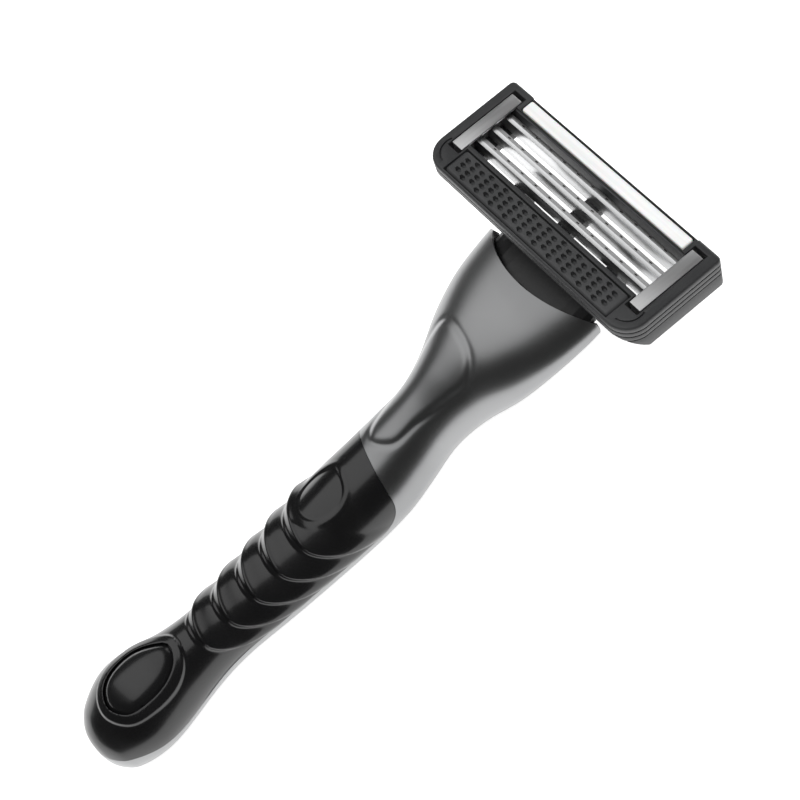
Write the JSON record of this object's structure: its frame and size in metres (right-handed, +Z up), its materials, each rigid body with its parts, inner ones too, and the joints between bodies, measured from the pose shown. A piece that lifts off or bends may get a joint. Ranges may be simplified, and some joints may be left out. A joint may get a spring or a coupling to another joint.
{
  "type": "cartridge razor",
  "caption": "Wet-shaving razor with a cast metal neck, a ribbed black grip and a pivoting cartridge with blades, a guard and a lubricating strip.",
  "frame": {"origin": "middle of the footprint, on the flat that runs along the handle's back", "axes": "+X across the blades, +Y from the butt to the head, +Z up out of the flat back"},
  "size_m": [0.042, 0.1066, 0.0261],
  "materials": {
    "cast_metal": "satin",
    "grip_black": "gloss",
    "grey_plastic": "satin",
    "black_plastic": "satin",
    "guard_rubber": "matt",
    "lubricating_gel": "smooth",
    "clip_metal": "satin",
    "blade_steel": "polished",
    "steel": "plain"
  },
  "bodies": {
    "handle": {"handle_body": "cast_metal", "grip_cover": "grip_black", "butt_inlay": "grip_black", "grip_screw": "steel", "balance_weight": "steel", "head_insert": "black_plastic"},
    "yoke": {"pivot_yoke": "black_plastic"},
    "cartridge": {"cartridge_frame": "grey_plastic", "clip_left": "clip_metal", "clip_right": "clip_metal", "lubricating_strip": "lubricating_gel", "guard_bar": "guard_rubber"},
    "plunger": {"plunger": "black_plastic", "plunger_spring": "steel"},
    "release_button": {"release_button": "black_plastic", "release_spring": "steel"},
    "blade_unit_1": {"blade_1": "blade_steel", "blade_carrier_1": "steel"},
    "blade_unit_2": {"blade_2": "blade_steel", "blade_carrier_2": "steel"},
    "blade_unit_3": {"blade_3": "blade_steel", "blade_carrier_3": "steel"}
  },
  "joints": [
    {"name": "docking_slide", "type": "slide", "parent": "handle", "child": "yoke", "axis": [0, 1, 0], "range_m": [0, 0.014]},
    {"name": "cartridge_pivot", "type": "hinge", "parent": "yoke", "child": "cartridge", "pos_m": [0, 0.04152, 0.0172], "axis": [-1, 0, 0], "range_deg": [0, 38], "stiffness_Nm_per_rad": 0.01, "springref_deg": -11.46},
    {"name": "plunger_slide", "type": "slide", "parent": "handle", "child": "plunger", "axis": [0, -1, 0], "range_m": [0, 0.0011]},
    {"name": "release_slide", "type": "slide", "parent": "handle", "child": "release_button", "axis": [0, 1, 0], "range_m": [0, 0.0025], "stiffness_N_per_m": 300, "springref_m": -0.001},
    {"name": "blade_1_spring_travel", "type": "slide", "parent": "cartridge", "child": "blade_unit_1", "axis": [0, -0.165, -0.9863], "range_m": [0, 0.0003], "stiffness_N_per_m": 300, "springref_m": -0.0002},
    {"name": "blade_2_spring_travel", "type": "slide", "parent": "cartridge", "child": "blade_unit_2", "axis": [0, -0.165, -0.9863], "range_m": [0, 0.0003], "stiffness_N_per_m": 300, "springref_m": -0.0002},
    {"name": "blade_3_spring_travel", "type": "slide", "parent": "cartridge", "child": "blade_unit_3", "axis": [0, -0.165, -0.9863], "range_m": [0, 0.0003], "stiffness_N_per_m": 300, "springref_m": -0.0002}
  ],
  "couplings": [
    {"joint": "plunger_slide", "follows": "cartridge_pivot", "m_per_rad": 0.00165}
  ]
}
